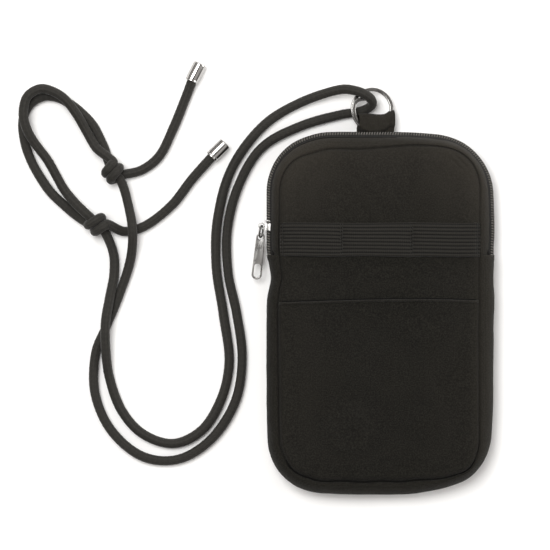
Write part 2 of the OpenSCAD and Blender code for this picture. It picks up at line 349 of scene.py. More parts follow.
def straight(x0, y0, x1, y1, nx, ny, step):
    """Points along a straight side, its last one left to the next stretch."""
    n = max(1, round(math.hypot(x1 - x0, y1 - y0) / step))
    return [(x0 + (x1 - x0) * i / n, y0 + (y1 - y0) * i / n, nx, ny) for i in range(n)]


def end_path(y0, r, step):
    """The outline from the right side at height y0, round the pouch's end, to the left side."""
    cx, cy = HALF_W - r, HALF_H - r
    return np.array(
        straight(HALF_W, y0, HALF_W, cy, 1, 0, step) + corner_arc(cx, cy, r, 0, step)
        + straight(cx, HALF_H, -cx, HALF_H, 0, 1, step)[1:] + corner_arc(-cx, cy, r, 90, step)
        + straight(-HALF_W, cy, -HALF_W, y0, -1, 0, step)[1:] + [(-HALF_W, y0, -1, 0)])


def top_path(y0, step=1.2):
    """The outline from the right side at height y0, over the top, to the left side."""
    return end_path(y0, TOP_R, step)


def low_path(y0, step=1.2):
    """The outline from the left side at height y0, round the bottom, to the right side."""
    return -end_path(-y0, BOTTOM_R, step)


def whole_path(step=1.2):
    """The closed outline, from the middle of the right side, without a doubled point."""
    return np.concatenate([top_path(0, step)[:-1], low_path(0, step)[:-1]])


CORNERS = {"top_right": (1, 1, TOP_R), "top_left": (-1, 1, TOP_R),
           "bottom_right": (1, -1, BOTTOM_R), "bottom_left": (-1, -1, BOTTOM_R)}


def round_corner(corner, x, y):
    """How far points are from the middle of a corner's arc, and at what angle in degrees."""
    side, end, radius = CORNERS[corner]
    dx, dy = side * x - (HALF_W - radius), end * y - (HALF_H - radius)
    return dx, dy, np.maximum(np.hypot(dx, dy), 1e-6), np.degrees(np.arctan2(dy, dx))


def front_seam_inset(x, y):
    """How far the front seam sits inside the outline: more at the top and right than at the left."""
    angle = np.arctan2(y, x * 1.4)
    right = bump(angle, 0, 0.9)
    left = bump(np.abs(angle), math.pi, 0.7)
    top = bump(angle, math.pi / 2, 0.8)
    wave = 0.2 * np.sin(angle * 9 + 0.6) * top + 0.25 * np.sin(angle * 23) * ramp(-y, 60, 85)
    drawn_in = 2.2 * bump(x, -38, 13) + 1.4 * bump(x, -14, 12) - 1.0 * bump(x, 16, 14)
    inset = 7.8 + 1.0 * right - 1.3 * left + 1.0 * top + wave + drawn_in * ramp(y, 60, 80)
    for corner, less in (("top_right", 1.3), ("top_left", 0.4), ("bottom_right", 1.1)):
        inset = inset - less * bump(round_corner(corner, x, y)[3], 45, 32)
    return inset


def seam_sink(x, y):
    """How far the front seam is pulled in: deepest along the bottom, least along the right."""
    puckers = 0.25 * np.sin(x * 0.9) * np.sin(x * 0.23 + 1.0)
    return ramp(-y, 78, 86) * (1.0 + puckers) - 0.6 * ramp(x, 42, 50) * ramp(70 - np.abs(y), 0, 12)


def settle(p):
    """The small sags and pinches of the real pouch, the same for every soft piece.

    Each bump is so many millimetres deep, at a place and with a width.
    """
    p = np.array(p, float)
    x, y, z = p[..., 0].copy(), p[..., 1].copy(), p[..., 2].copy()
    left, right = ramp(-x, 40, 58), ramp(x, 40, 58)
    lifted = ramp(z, 1.0, 8.0)
    p[..., 0] += left * lifted * (2.2 * bump(y, 19.0, 7.5) + 0.4 * bump(y, 28, 3)
                                  + 0.2 * bump(y, -75, 18))
    p[..., 0] -= right * lifted * (0.5 * bump(y, 33, 6) + 0.7 * bump(y, 17, 9)
                                   + 0.7 * ramp(-y, -10, 10) + 0.5 * ramp(-y, 40, 80))
    p[..., 1] += ramp(-y, 70, 94) * (0.4 * (x / 60) ** 2 + 2.2 * bump(x, 37, 15)
                                     + 0.5 * bump(x, -34, 12) - 0.2)
    p[..., 1] -= ramp(y, 70, 94) * (0.7 * bump(x, -38, 9) + 0.5 * bump(x, 33, 11)) * lifted
    for corner, pull in (("top_right", 1.7), ("bottom_right", 2.0), ("bottom_left", 0.3)):
        side, end, radius = CORNERS[corner]
        dx, dy, away, angle = round_corner(corner, x, y)
        pull = pull * ramp(away, radius - 9, radius - 1) * bump(angle, 45, 50)
        p[..., 0] -= side * pull * dx / away
        p[..., 1] -= end * pull * dy / away
    return p


def face_height(x, y, inset):
    """Height of the padded front face, from how far a point is inside the seam."""
    d = np.maximum(inset, 0)
    sink = seam_sink(x, y)
    wide = 0.95 + 0.45 * np.maximum(sink, 0)
    crown = (1.7 + 0.8 * sink) * (1 - np.exp(-(d / wide) ** 1.3)) + 0.5 * (1 - np.exp(-d / 14))
    soft = 0.3 * ripple(x, y, 55, 3) * ramp(inset, 4, 20)
    corner = 0.28 * np.sin((x + y) * 1.5) * bump(x, 41, 5) * bump(y, 80, 5)
    dip = -0.4 * bump(y, FOLD_Y - 6, 7) * ramp(inset, 2, 10)
    return FACE_Z - 2.0 - 0.8 * sink + crown + soft + corner + dip


def rounded_face(path, inset_of, rings):
    """A face filled from its seam to a spine: rings of points, each moved further inwards."""
    inset = inset_of(path[:, 0], path[:, 1])
    sx = path[:, 0] - path[:, 2] * inset
    sy = path[:, 1] - path[:, 3] * inset
    spine = np.clip(sy, -HALF_H + 55, HALF_H - 55)
    out = np.zeros((len(path), rings, 3))
    for k in range(rings):
        s = 1 - (k / (rings - 1)) ** 1.6  # rings lie closer near the seam
        out[:, k, 0] = sx * s
        out[:, k, 1] = spine + (sy - spine) * s
        out[:, k, 2] = (1 - s) * np.hypot(sx, sy - spine)
    return out


def panel(name, path, inset_of, rings, height, thick, flip=False, extra=0.0):
    """A padded face's layer, from its seam to the middle; height gives z from x, y and depth."""
    grid = rounded_face(path, lambda x, y: inset_of(x, y) + extra, rings)
    depth = grid[..., 2] + extra
    grid[..., 2] = height(grid[..., 0], grid[..., 1], depth)
    return sheet_solid(name, settle(grid), thick, True, flip, spine=True)


def back_seam_inset(x, _):
    return BACK_SEAM + 0 * x


def back_height(x, y, depth):
    """Height of the back face: flat where it lies, lifting to its seam and in one soft hollow."""
    hollow = np.maximum(ripple(x, y, 80, 5), 0) * ramp(depth, 8, 26)
    return 1.1 * np.exp(-np.maximum(depth, 0) / 1.4) + 0.35 * hollow


def side_wall(name, path, a0, a1, edge, rows, thick, wrinkle, seed, hem=0.0, inside=0.0):
    """A rolled strip of the side: a runs from -1 at the back seam over 0 at mid-thickness to 1."""
    s = distances(path[:, :2])
    front_seam = front_seam_inset(path[:, 0], path[:, 1])
    ends = 1 - ramp(np.minimum(s, s[-1] - s), 2.0, 3.4)
    grid = np.zeros((len(path), rows, 3))
    sink = seam_sink(path[:, 0], path[:, 1])
    for k, t in enumerate(np.linspace(0, math.pi, rows)):
        a = a0 + (a1 - a0) * (0.5 - 0.5 * math.cos(t))
        phi = a * math.pi / 2
        seam = front_seam if a > 0 else BACK_SEAM
        waves = ripple(s, 9.0 * a + 0 * s, 27, seed) + 0.35 * ripple(s, 5.0 * a + 0 * s, 9, seed + 1)
        inset = edge + (seam - edge) * (1 - math.cos(phi)) + inside
        inset = inset - wrinkle * waves * math.cos(phi) ** 0.5 - hem * ends * math.cos(phi)
        grid[:, k, 0] = path[:, 0] - path[:, 2] * inset
        grid[:, k, 1] = path[:, 1] - path[:, 3] * inset
        if a > 0:
            dip = (1.3 + 0.9 * sink) * np.exp(-((1 - a) / (0.055 + 0.035 * np.maximum(sink, 0))) ** 2)
        else:
            dip = -1.3 * math.exp(-((1 + a) / 0.055) ** 2)
        grid[:, k, 2] = MID_Z + (ROLL_H - inside) * math.sin(phi) - dip
    return sheet_solid(name, settle(grid), thick)


def moved_in(path, inset):
    """The path's x and y moved inwards by inset."""
    return path[:, :2] - path[:, 2:] * np.reshape(inset, (-1, 1))


# ---------------- the cord: one length, tip to tip
LIE = 2.6  # height of the cord's middle where it lies on the table
# A point of the route without a height lies on the table.
TAIL_1 = [(-98, 122.4, 3.4), (-102, 112), (-108.5, 96), (-116, 81.5), (-125, 74.6)]
UPPER_A = [(-148.2, 86.0, 5.6), (-151.2, 90.6, 4.6), (-154, 95.6, 4.6), (-158.8, 104, 6.6),
           (-165, 111.8, 7.5), (-171, 115.6, 7.5), (-177.5, 117, 7.6), (-184.2, 113, 8),
           (-186.4, 103.6, 8), (-184.2, 94.9, 7), (-179.8, 87.6, 4.6), (-174.1, 80, 3),
           (-165.2, 64.3, 3), (-160.2, 58.2, 5.4), (-155, 53, 7)]
UPPER_B = [(-142, 78.8, 4.6), (-143.8, 84.6), (-146.6, 91), (-150.0, 97.6), (-154.8, 103.2),
           (-162.5, 109.4), (-169, 112.6), (-176, 113.2), (-183, 109.4), (-186.8, 101), (-186, 89.9),
           (-182.8, 80), (-177.8, 70.8), (-172.3, 63), (-166.3, 57.2), (-158, 50.2)]
TAIL_2 = [(-134, 42.6, 3), (-124, 45), (-109.3, 56.1), (-98.4, 70), (-87.6, 82.1, 3.4)]
STRAND_2 = [(-144.2, 42.6, 4.4), (-139.6, 31), (-139.3, 20, 3), (-141.4, 8, 6.4), (-143.6, -6, 8),
            (-143.4, -20, 6.2), (-141.6, -34), (-135, -51.5), (-124, -63.4), (-108, -68.3),
            (-93.5, -61.4), (-83.4, -45.4), (-79.1, -26), (-82.2, 0), (-85.9, 25), (-85, 50),
            (-77.5, 76), (-61, 98), (-42, 109.8, 3.4)]
BIGHT = [(-20.4, 116.6, 8.2), (-14, 116, 10.8), (-9, 114.3, 11.6), (-5.2, 111.6, 9.6), (-4.4, 109, 6.4),
         (-6.8, 106.8, 3.8), (-12, 105), (-20, 103.8)]
STRAND_1 = [(-42, 97.5), (-62, 86.4), (-74, 67), (-80, 44), (-79.6, 21), (-75.2, 0), (-72.3, -24),
            (-76, -46.5), (-89, -66.5), (-106, -76.6), (-124, -75.2), (-140.6, -61.6), (-149.2, -42),
            (-148.8, -21), (-143.7, -8), (-137, 8.4), (-130.6, 28, 3.6), (-129.4, 43, 8.1),
            (-131.4, 55, 5.6), (-135.4, 68.6, 5.6)]
KNOT_1, KNOT_1_TURN = (-139.3, 73.7, 6.5), 129
KNOT_2, KNOT_2_TURN = (-147.7, 46.4, 6.5), -44


def windings(centre, turn, along, start, stop, radius):
    """Points of a coil of the cord round another stretch of it, lying at angle turn."""
    u = np.array([math.cos(math.radians(turn)), math.sin(math.radians(turn)), 0])
    v = np.array([-u[1], u[0], 0])
    n = max(8, round(abs(stop - start) / 30))
    out = []
    for i in range(n + 1):
        a = math.radians(start + (stop - start) * i / n)
        out.append(np.array(centre) + u * along * (2 * i / n - 1)
                   + radius * (v * math.cos(a) + np.array([0, 0, math.sin(a)])))
    return [tuple(q) for q in out]


def cord_route():
    """From tip to tip: through both knots, up to the ring, round it and back."""
    wrap_1 = windings(KNOT_1, KNOT_1_TURN, 3.7, -120, 505, 3.7)
    wrap_2 = windings(KNOT_2, KNOT_2_TURN, 3.7, 210, -335, 3.8)
    route = (TAIL_1 + wrap_1 + UPPER_A + [KNOT_2] + STRAND_2 + BIGHT + STRAND_1 + [KNOT_1]
             + UPPER_B + wrap_2 + TAIL_2)
    return [(*q, LIE)[:3] for q in route]


def make_cord():
    """The braided cord as one tube; its braid runs in two hands round it."""
    line = spline_through(cord_route(), 0.7)
    line[:, 2] = np.maximum(line[:, 2], CORD_R * 0.99)
    s = distances(line)
    sides = 24
    cord = tube("cord", line, CORD_R, sides)
    n = len(line)
    co = np.zeros(len(cord.data.vertices) * 3)
    cord.data.vertices.foreach_get("co", co)
    co = co.reshape(-1, 3) / MM
    centre = np.repeat(line, sides, 0)
    along = np.repeat(s, sides)
    around = np.tile(np.arange(sides) * 2 * math.pi / sides, n)
    out = co - centre
    lobes = (np.cos(BRAID_LOBES * around + along * BRAID_TURN)
             * np.cos(BRAID_LOBES * around - along * BRAID_TURN))
    slow = 0.012 * np.sin(along / 9.0) + 0.01 * np.sin(along / 3.7 + 1)
    out *= (0.985 + 0.022 * lobes + slow)[:, None]
    co = centre + out
    co[:, 2] = np.maximum(co[:, 2], 0.05)
    cord.data.vertices.foreach_set("co", (co * MM).ravel())
    paint(cord, "along", along)
    paint(cord, "around", around)
    cord.data.update()
    return cord, line


def make_tip(name, base, degrees):
    """A metal end cap with a rolled mouth and a rounded end, lying on the table."""
    profile = [(0.9, 2.4), (0.9, 2.75), (0.25, 2.9), (0, 3.15), (0.12, 3.4), (0.45, 3.48), (0.8, 3.4),
               (1.0, 3.3), (1.25, 3.3), (1.45, 3.44), (9.6, 3.44), (10.05, 3.36), (10.35, 3.1),
               (10.5, 2.7), (10.52, 0.0)]
    tip = lathe(name, profile, 64)
    turn = moved(*base) @ Matrix.Rotation(math.radians(degrees), 4, "Z")
    tip.data.transform(turn)
    smooth_by_angle(tip, 30)
    return tip


# ---------------- the ring and its fabric tab
RING_C = (-4.3, 106.3, 6.0)
RING_TILT = 12
RING_R = 10.15  # to the middle of the wire, in the upper turn
RING_WIRE_SIZE = (1.95, 1.5, 0.42)  # width, height and the edge's radius
TAB_LEFT, TAB_W = -7.5, 18.9
TAB_R = 2.6  # radius of the tab where it goes over the ring
AT_RING = moved(*RING_C) @ Matrix.Rotation(math.radians(RING_TILT), 4, "Y")


def rounded_rect(w, h, r):
    """Points round a rounded rectangle."""
    out, steps = [], 4
    for cx, cy, a0 in ((w / 2 - r, h / 2 - r, 0), (r - w / 2, h / 2 - r, 90),
                       (r - w / 2, r - h / 2, 180), (w / 2 - r, r - h / 2, 270)):
        for i in range(steps + 1):
            a = math.radians(a0 + 90 * i / steps)
            out.append((cx + r * math.cos(a), cy + r * math.sin(a)))
    return out


def make_ring():
    """A split ring: two turns of flattened wire, the upper turn ending in a blunt bent tip."""
    pts = []
    for degrees in range(116, 826, 3):  # anticlockwise from the blunt upper end
        bend = 1 - float(ramp(degrees, 116, 166))
        fall = float(ramp(degrees, 350, 440))
        r = RING_R + 0.25 * fall - 3.9 * bend
        z = 0.8 - 1.6 * fall + 0.7 * bend
        a = math.radians(degrees)
        pts.append((r * math.cos(a), r * math.sin(a), z))
    ring = flat_wire("split_ring_coil", pts, rounded_rect(*RING_WIRE_SIZE))
    ring.data.transform(AT_RING)
    smooth_by_angle(ring, 40)
    return ring


def flat_wire(name, path, profile):
    """A wire of a fixed section whose height always points up."""
    p = np.array(path, float)
    verts = []
    for at, way in zip(p, directions(p)):
        side = np.cross(way, UP)
        side /= np.linalg.norm(side)
        verts += [at + side * a + UP * b for a, b in profile]
    obj = make_object(name, verts, wire_faces(len(p), len(profile)))
    merge(obj)
    return obj


def make_tab():
    """The folded fabric loop: one strip over the ring, its right corner lifted."""
    u, v = np.meshgrid(np.linspace(0, 1, 60), np.linspace(0, 1, 56), indexing="ij")
    x = TAB_LEFT + TAB_W * u
    wave = 0.25 * np.sin(u * 7.5 + 0.4)
    lift = 1.6 * ramp(u, 0.72, 1.0)
    r = TAB_R + 0.5 * lift * bump(v, 0.5, 0.25)
    flat = 7.6 + wave  # each layer's length below the fold
    along = v * (2 * flat + math.pi * r)
    turn = np.clip((along - flat) / r, 0, math.pi) - math.pi / 2
    before, after = np.maximum(flat - along, 0), np.maximum(along - flat - math.pi * r, 0)
    y = -5.6 + wave + 0.8 * lift + r * np.cos(turn) - before - after
    past_ring = np.sqrt(np.maximum(127.7 - x * x, 60.0)) + 0.2
    sewn = ramp(-y, past_ring, past_ring + 1.3)
    table = x * math.tan(math.radians(RING_TILT)) - 1.5
    z = r * np.sin(turn) * (1 - 0.74 * sewn) + sewn * table + 0.12 * np.sin(x * 1.1 + 0.5 * y)
    tab = sheet_solid("ring_tab_loop", np.stack([x, y, z], -1), CLOTH)
    tab.data.transform(AT_RING)
    return tab


# ---------------- the zip
COIL_PITCH = 1.36
COIL_ACROSS, COIL_UP = 0.85, 0.78  # half the size of a loop of the wire
COIL_WIRE_R = 0.35
COIL_STEPS = 12  # points in one loop


def make_coil(name, path, inset, z, phase, side):
    """A row of the coil: a flattened spiral of nylon wire along the outline."""
    xy = moved_in(path, inset)
    line = resample(np.column_stack([xy, 0 * xy[:, 0]]), COIL_PITCH / COIL_STEPS)
    t = directions(line)
    inward = np.column_stack([-t[:, 1], t[:, 0], 0 * t[:, 0]])
    a = 2 * math.pi * np.arange(len(line)) / COIL_STEPS + phase
    soft = lambda w: np.sign(w) * np.abs(w) ** 0.7
    line = line + inward * (COIL_ACROSS * soft(np.cos(a)))[:, None]
    line[:, 2] = z + side * COIL_UP * soft(np.sin(a))
    return tube(name, settle(line), COIL_WIRE_R, 6)


def make_tape(name, path, inset0, inset1, z0, z1):
    """The woven tape that carries a row of the coil, from its lower to its upper edge."""
    rows = 6
    grid = np.zeros((len(path), rows, 3))
    for k, t in enumerate(np.linspace(0, 1, rows)):
        grid[:, k, :2] = moved_in(path, inset0 + (inset1 - inset0) * t)
        grid[:, k, 2] = z0 + (z1 - z0) * t
    return sheet_solid(name, settle(grid), 0.5)


STITCH_PITCH, STITCH_LENGTH = 1.5, 1.15
THREAD_R = 0.17


def stitches(path):
    """A row of thread stitches: short rounded pieces along a line of points."""
    line = resample(np.array(path, float), STITCH_PITCH)
    made = []
    for i in range(len(line) - 1):
        d = line[i + 1] - line[i]
        d /= np.linalg.norm(d)
        m = (line[i] + line[i + 1]) / 2
        pts = [m + d * STITCH_LENGTH * t - UP * 0.14 * (2 * t) ** 2 for t in (-0.5, -0.25, 0, 0.25, 0.5)]
        made.append(tube("stitch", pts, THREAD_R * np.array((0.7, 1, 1, 1, 0.7)), 6))
    return made


def binding(name, path, inset, z, closed=True):
    """A narrow tape folded over a seam's raw edges, as a rounded strip."""
    xy = moved_in(path, inset)
    line = settle(np.column_stack([xy, z + 0 * xy[:, 0]]))
    return tube(name, line, 1.0, closed=closed,
                profile=[(0.45, 0), (0.36, 0.7), (0, 1), (-0.36, 0.7), (-0.45, 0), (-0.36, -0.7),
                         (0, -1), (0.36, -0.7)])


# ---------------- the slider, link and pull
LUG = (-62.0, 45.4, 10.3)
AT_LUG = (moved(*LUG) @ Matrix.Rotation(math.radians(-6), 4, "Z")
          @ Matrix.Rotation(math.radians(9), 4, "X"))
PULL_TOP, PULL_SPAN = -6.0, 19.7
SLIDER_PLATES_X = (-60.1, -56.95)
SLIDER_WINGS_Z = (7.75, 12.3)
SLIDER_Z = 10


def hull_outline(r1, r2, length, y=0.0):
    """Outline round two circles, the second one length below the first, which is at y."""
    steps = 18
    tilt = math.asin((r1 - r2) / length) if length > abs(r1 - r2) else 0.0
    out = []
    for i in range(steps + 1):
        a = -tilt + (math.pi + 2 * tilt) * i / steps
        out.append((r1 * math.cos(a), y + r1 * math.sin(a)))
    for i in range(steps + 1):
        a = math.pi + tilt + (math.pi - 2 * tilt) * i / steps
        out.append((r2 * math.cos(a), y - length + r2 * math.sin(a)))
    return out


def round_hole(r, steps):
    return [(r * math.cos(a), -r * math.sin(a)) for a in np.linspace(0, 2 * math.pi, steps, False)]


def make_pull():
    """The pull tab: a bevelled plate with its eye, a long slot and a small plain relief."""
    place = AT_LUG @ moved(0, PULL_TOP, 0)
    body = plate("pull_plate", [
        hull_outline(2.2, 2.7, PULL_SPAN),
        round_hole(1.4, 32),
        hull_outline(1.7, 1.7, 4.0, y=4.0 - PULL_SPAN)[::-1]], 0.6, 0.22, place)
    smooth_by_angle(body, 40)
    relief = []
    for side in (-1, 1):
        pts = [(side * 1.15, -2.3, 0.56), (side * 1.1, -4.0, 0.6), (side * 0.75, -5.6, 0.6),
               (side * 0.1, -6.6, 0.56)]
        relief.append(tube("pull_relief", spline_through(pts, 0.3), 0.22, 8))
    marks = join("pull_relief", relief)
    marks.data.transform(place)
    return body, marks


def make_slider():
    """The slider: two plates, a rounded nose joining them and the lug the link hangs from."""
    lower = [(42.6, 9.0), (43.1, 8.0), (44.2, 7.7), (46.6, 7.6), (47.7, 7.9), (48.2, 8.7)]
    outline = lower + [(y, 2 * SLIDER_Z - z) for y, z in reversed(lower)]
    stand = Matrix(((0, 0, 1, 0), (1, 0, 0, 0), (0, 1, 0, 0), (0, 0, 0, 1)))
    parts = []
    for x in SLIDER_PLATES_X:
        parts.append(plate("slider_plate", [outline], 0.35, 0.16, moved(x, 0, 0) @ stand))
    nose = [(x, y, SLIDER_Z) for x, y in ((-60.2, 46.9), (-60.0, 47.6), (-58.9, 48.0),
                                          (-57.6, 47.8), (-56.95, 47.0))]
    parts.append(flat_wire("slider_nose", spline_through(nose, 0.25),
                           rounded_rect(0.7, 4.0, 0.3)))
    eye = plate("slider_lug", [
        [(1.8 * math.cos(a), 1.8 * math.sin(a)) for a in np.linspace(-2.4, 2.4, 34) + math.pi]
        + [(1.75, 1.3), (1.75, -1.3)],
        round_hole(1.2, 30)],
        0.7, 0.25, moved(*LUG))
    parts.append(eye)
    for x0, x1 in ((-60.3, -58.61), (-58.55, -56.8)):
        wing = [(x0, 42.9), (x0 + 0.25, 42.7), (x1 - 0.25, 42.7), (x1, 42.9), (x1, 46.4),
                (x1 - 0.25, 46.65), (x0 + 0.25, 46.65), (x0, 46.4)]
        for z in SLIDER_WINGS_Z:
            parts.append(plate("slider_wing", [wing], 0.3, 0.14, moved(0, 0, z)))
    slider = join("slider_body", parts)
    smooth_by_angle(slider, 40)
    return slider


# ---------------- the band and the pocket
BAND_X, BAND_Y = (-52.3, 51.3), (29.5, 46.9)
BAND_Z = 20.75
BAND_RIBS = 9.4
TACKS = (-51.2, -20.6, 15.8, 50.2)  # rows of stitches that divide the band
POCKET_TOP = 6.4


def make_band():
    """The elastic webbing: ribs along it, loops that rise between the rows of stitches."""
    u, v = np.meshgrid(np.linspace(0, 1, 260), np.linspace(0, 1, 84), indexing="ij")
    x = BAND_X[0] + (BAND_X[1] - BAND_X[0]) * u
    near = np.min([abs(x - t) for t in TACKS], axis=0)
    rise = 0.95 * (1 - bump(near, 0, 4.0)) - 0.7 * bump(near, 0, 1.3)
    ends = 1.5 * bump(x, BAND_X[0], 1.5) + 1.5 * bump(x, BAND_X[1], 1.5)
    dip = 0.55 * bump(x, 34, 14) + 0.2 * np.sin(x / 6.0)
    step = 0  # the ribs don't quite meet at the two middle rows
    for t, before, after in ((TACKS[1], -0.30, 0.40), (TACKS[2], -0.35, 0.30)):
        step = step + np.where(x < t, before, after) * np.exp(-abs(x - t) / 7.0)
    y = BAND_Y[0] + (BAND_Y[1] - BAND_Y[0]) * v - 0.8 * dip * (1 - v) ** 1.5
    y = y + 0.15 * np.sin(x / 9.0) * v + step * np.sin(math.pi * v)
    ribs = abs(np.sin(math.pi * v * BAND_RIBS)) ** 0.55
    edge = 0.35 * (1 - ramp(np.minimum(v, 1 - v), 0.0, 0.05))
    z = BAND_Z + rise * np.sin(math.pi * (0.12 + 0.76 * v)) + 0.62 * ribs - edge - ends
    band = sheet_solid("elastic_webbing", np.stack([x, y, z], -1), 0.85)
    # the rib height, which the material reads to paint shade into the grooves
    paint(band, "rib", np.tile(ribs.ravel(), 2))
    rows = []
    for t in TACKS:
        middle = t in TACKS[1:3]
        for dx in (-0.55, 0.55) if middle else (0,):
            z = BAND_Z + (0.1 if middle else -0.35)
            pts = [(t + dx, y, z) for y in np.linspace(BAND_Y[0] + 0.5, BAND_Y[1] - 0.5, 14)]
            rows += stitches(pts)
    return band, join("band_stitches", rows)


def make_seam_painted_shadow():
    """Painted shadow: a dark strip that shows at the bottom of the front's groove along the end,
    standing for the shade in it.
    """
    path = low_path(0.0)
    path = path[path[:, 1] < -79.0]
    xy = moved_in(path, front_seam_inset(path[:, 0], path[:, 1]) - 0.35)
    z = FACE_Z - 1.75 - 0.8 * seam_sink(xy[:, 0], xy[:, 1])
    line = settle(np.column_stack([xy, z]))
    return flat_wire("front_seam_painted_shadow", line, rounded_rect(1.7, 0.5, 0.2))


def make_pocket():
    """The patch pocket over the lower front, with a turned hem along its top and a dark strip of painted
    shadow in its mouth.
    """
    path = low_path(POCKET_TOP)
    top = lambda x: 0.5 * np.sin((x + 10) / 24.0) - 1.0 * (x / 60.0) ** 2
    grid = rounded_face(path, front_seam_inset, 60)
    depth = grid[..., 2]
    x, y = grid[..., 0], grid[..., 1]
    z = face_height(x, y, depth) + 0.12 + 0.6 * ramp(depth, 0, 1.6)
    near = ramp(y, -4, POCKET_TOP)
    grid[..., 1] = y + top(x) * near
    grid[..., 2] = z + near * (0.45 + 0.35 * np.sin(x / 13.0 + 0.8)) * ramp(depth, 0, 5)
    pocket = sheet_solid("patch_pocket", settle(grid), 0.65, spine=True)
    hx = np.linspace(-53.0, 50.7, 160)
    hy = POCKET_TOP + top(hx)
    depth = np.minimum(hx + 53.3, 51.0 - hx)
    hz = (face_height(hx, hy, depth) + 0.78
          + (0.6 + 0.35 * np.sin(hx / 13.0 + 0.8)) * ramp(depth, 0, 5))
    hem_line = settle(np.column_stack([hx, hy, hz]))
    hem = flat_wire("pocket_hem", hem_line, rounded_rect(1.1, 1.0, 0.42))
    # painted shadow: a dark strip just above the hem, standing for the shade inside the pocket's mouth
    mouth_shadow_line = hem_line[2:-2] + np.array([0, 0.75, -0.35])
    mouth_shadow = flat_wire("pocket_mouth_painted_shadow", mouth_shadow_line, rounded_rect(0.9, 0.4, 0.15))
    return pocket, hem, mouth_shadow


# ---------------- materials
class Nodes:
    """A node tree with short names for the nodes it is built from."""

    def __init__(self, tree):
        self.tree = tree

    def put(self, socket, value):
        if isinstance(value, bpy.types.NodeSocket):
            self.tree.links.new(value, socket)
        else:
            socket.default_value = value

    def node(self, kind, out=0, values=None, **settings):
        n = self.tree.nodes.new("ShaderNode" + kind)
        for key, value in settings.items():
            setattr(n, key, value)
        for key, value in (values or {}).items():
            self.put(n.inputs[key], value)
        return n.outputs[out]

    def math(self, how, a, b=0.0, c=0.0):
        return self.node("Math", operation=how, values={0: a, 1: b, 2: c})

    def add(self, a, b):
        return self.math("ADD", a, b)

    def times(self, a, b):
        return self.math("MULTIPLY", a, b)

    def span(self, value, a, b, low=0.0, high=1.0):
        return self.node("MapRange", 0, {"Value": value, "From Min": a, "From Max": b,
                                         "To Min": low, "To Max": high})


class Shader(Nodes):
    """A material in object coordinates, in metres."""

    def __init__(self, name):
        self.mat = bpy.data.materials.new(name)
        self.mat.use_nodes = True
        super().__init__(self.mat.node_tree)
        self.bsdf = self.tree.nodes["Principled BSDF"]
        self.place = self.node("TexCoord", "Object")

    def axis(self, number):
        """The object's own x, y or z, as 0, 1 or 2."""
        return self.node("SeparateXYZ", number, {0: self.place})

    def noise(self, size, detail=2.0, rough=0.5, place=None):
        """Noise whose features are about size metres across, 0 to 1."""
        return self.node("TexNoise", 0, {"Vector": place or self.place, "Scale": 1.0 / size,
                                         "Detail": detail, "Roughness": rough})

    def between(self, fac, a, b):
        n = self.tree.nodes.new("ShaderNodeMix")
        n.data_type = "RGBA"
        self.put(n.inputs["Factor"], fac)
        for key, colour in (("A", a), ("B", b)):
            self.put(n.inputs[key], rgb(*colour) if isinstance(colour, tuple) else colour)
        return n.outputs["Result"]

    def wave(self, axis, pitch):
        return self.math("SINE", self.times(axis, 2 * math.pi / pitch))

    def finish(self, colour, rough, **values):
        """The surface's colour and roughness, and its plain values by socket name."""
        self.put(self.bsdf.inputs["Base Color"], colour)
        self.put(self.bsdf.inputs["Roughness"], rough)
        for key, value in values.items():
            self.put(self.bsdf.inputs[key.replace("_", " ")], value)

    def bump(self, height, strength, distance):
        self.put(self.bsdf.inputs["Normal"],
                 self.node("Bump", 0, {"Strength": strength, "Distance": distance,
                                       "Height": height}))


def rgb(r, g, b):
    return (r, g, b, 1.0)


# the paler tone that the fabric's painted highlight blends towards
PAINTED_HIGHLIGHT_TONE = (0.072, 0.062, 0.050)


def fabric(name, dark, pale, pitch, sheen=0.35, rough=0.85, strength=0.55, melange=0.5,
           checks=0.25, paints_highlights=False):
    """Plain weave: crossing threads, lighter flecks and faint clouding, with a painted highlight, where
    asked for, that pales it towards its top, rims, right side and bottom.
    """
    m = Shader(name)
    warp, weft, third = (m.wave(m.axis(k), pitch) for k in range(3))
    weave = m.add(m.times(warp, weft), m.times(third, m.add(warp, weft)))
    fleck = m.noise(pitch * 1.05, 3.0, 0.65)
    cloud = m.noise(0.030, 3.0)
    mixed = m.add(m.span(fleck, 0.42, 0.72, 0.0, melange), m.span(weave, -1, 1, 0.0, checks))
    colour = m.between(m.add(mixed, m.span(cloud, 0.45, 0.75, 0.0, 0.12)), dark, pale)
    if paints_highlights:
        # painted highlight: the cloth is made paler towards the top, the rims, the right side and the
        # bottom, where the lamps light it more
        x, y = m.axis(0), m.axis(1)
        top = m.span(y, 0.020, 0.090)
        rims = m.span(m.math("ABSOLUTE", x), 0.018, 0.056)
        near_top = m.times(m.times(top, top), m.math("MULTIPLY_ADD", rims, 0.13, 0.16))
        near_rims = m.times(rims, m.math("MULTIPLY_ADD", top, 0.07, 0.045))
        right = m.span(x, 0.044, 0.060, 0, 0.12)
        bottom = m.span(y, -0.084, -0.096, 0, 0.09)
        painted_highlight = m.add(m.add(m.add(near_top, near_rims), right), bottom)
        colour = m.between(painted_highlight, colour, PAINTED_HIGHLIGHT_TONE)
    m.finish(colour, m.span(cloud, 0.3, 0.7, rough - 0.05, min(rough + 0.08, 1)),
             Sheen_Weight=sheen, Sheen_Roughness=0.45, Specular_IOR_Level=0.12)
    m.bump(m.add(m.times(weave, 0.5), m.times(fleck, 1.4)), strength, 0.00018)
    return m.mat


